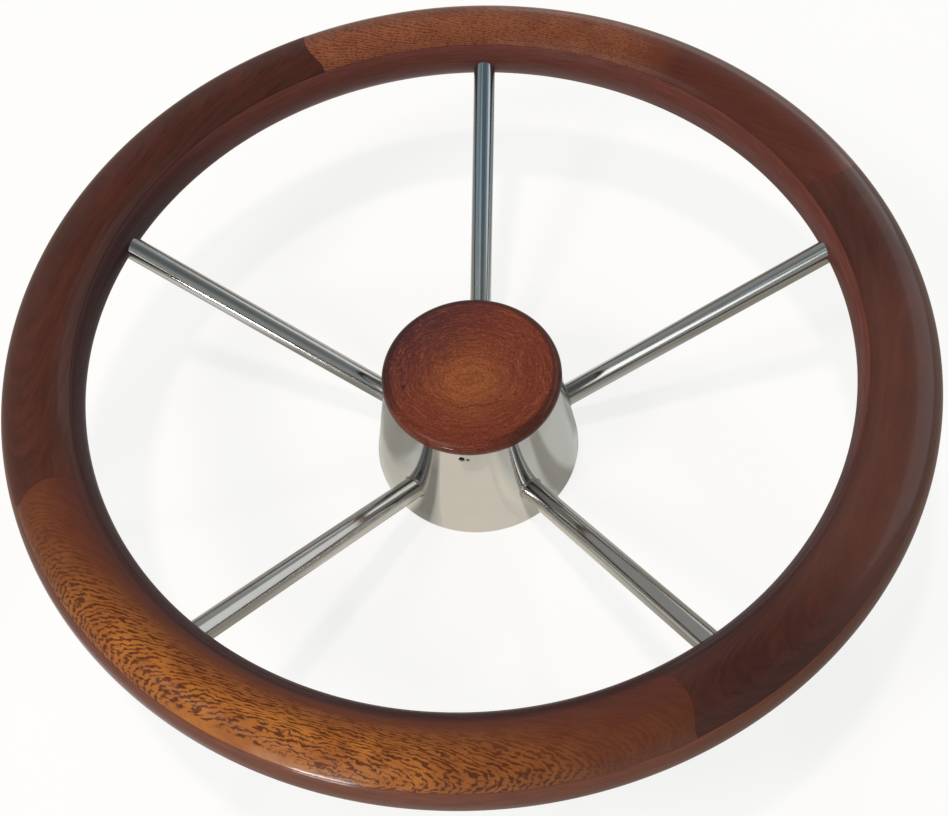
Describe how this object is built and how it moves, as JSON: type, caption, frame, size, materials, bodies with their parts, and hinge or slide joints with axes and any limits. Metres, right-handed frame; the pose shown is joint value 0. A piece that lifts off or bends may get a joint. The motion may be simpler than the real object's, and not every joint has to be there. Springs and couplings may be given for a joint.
{
  "type": "boat steering wheel",
  "caption": "Dished steering wheel for a small boat: round glued hardwood rim, polished straight spokes, conical steel hub with a wooden cap.",
  "frame": {"origin": "centre of the hub's back face, where the wheel meets the helm; it is also the lowest plane of the part", "axes": "+Z runs along the steering shaft towards the person steering, +Y runs along spoke_1, the upper one in the picture, +X is to the right as the person steering sees it"},
  "size_m": [0.394, 0.394, 0.1061],
  "materials": {
    "figured_wood": "gloss varnish over figured golden-brown hardwood",
    "dark_wood": "gloss varnish over dark red-brown hardwood",
    "plain_wood": "gloss varnish over plain brown hardwood",
    "cap_wood": "gloss varnish over red-brown turned hardwood",
    "polished_steel": "stainless steel, polished to a mirror",
    "satin_steel": "stainless steel, machined",
    "screw_steel": "stainless steel fasteners"
  },
  "bodies": {
    "root": {"rim_front_1": "figured_wood", "rim_front_2": "dark_wood", "rim_front_3": "figured_wood", "rim_front_4": "dark_wood", "rim_body": "plain_wood", "spoke_1": "polished_steel", "spoke_2": "polished_steel", "spoke_3": "polished_steel", "spoke_4": "polished_steel", "spoke_5": "polished_steel", "spoke_lock_screw_1": "screw_steel", "spoke_lock_screw_2": "screw_steel", "spoke_lock_screw_3": "screw_steel", "spoke_lock_screw_4": "screw_steel", "spoke_lock_screw_5": "screw_steel", "hub_cone": "polished_steel", "hub_back_plate": "satin_steel", "shaft_boss": "satin_steel", "centre_cap": "cap_wood", "cap_set_screw": "screw_steel"}
  },
  "joints": []
}
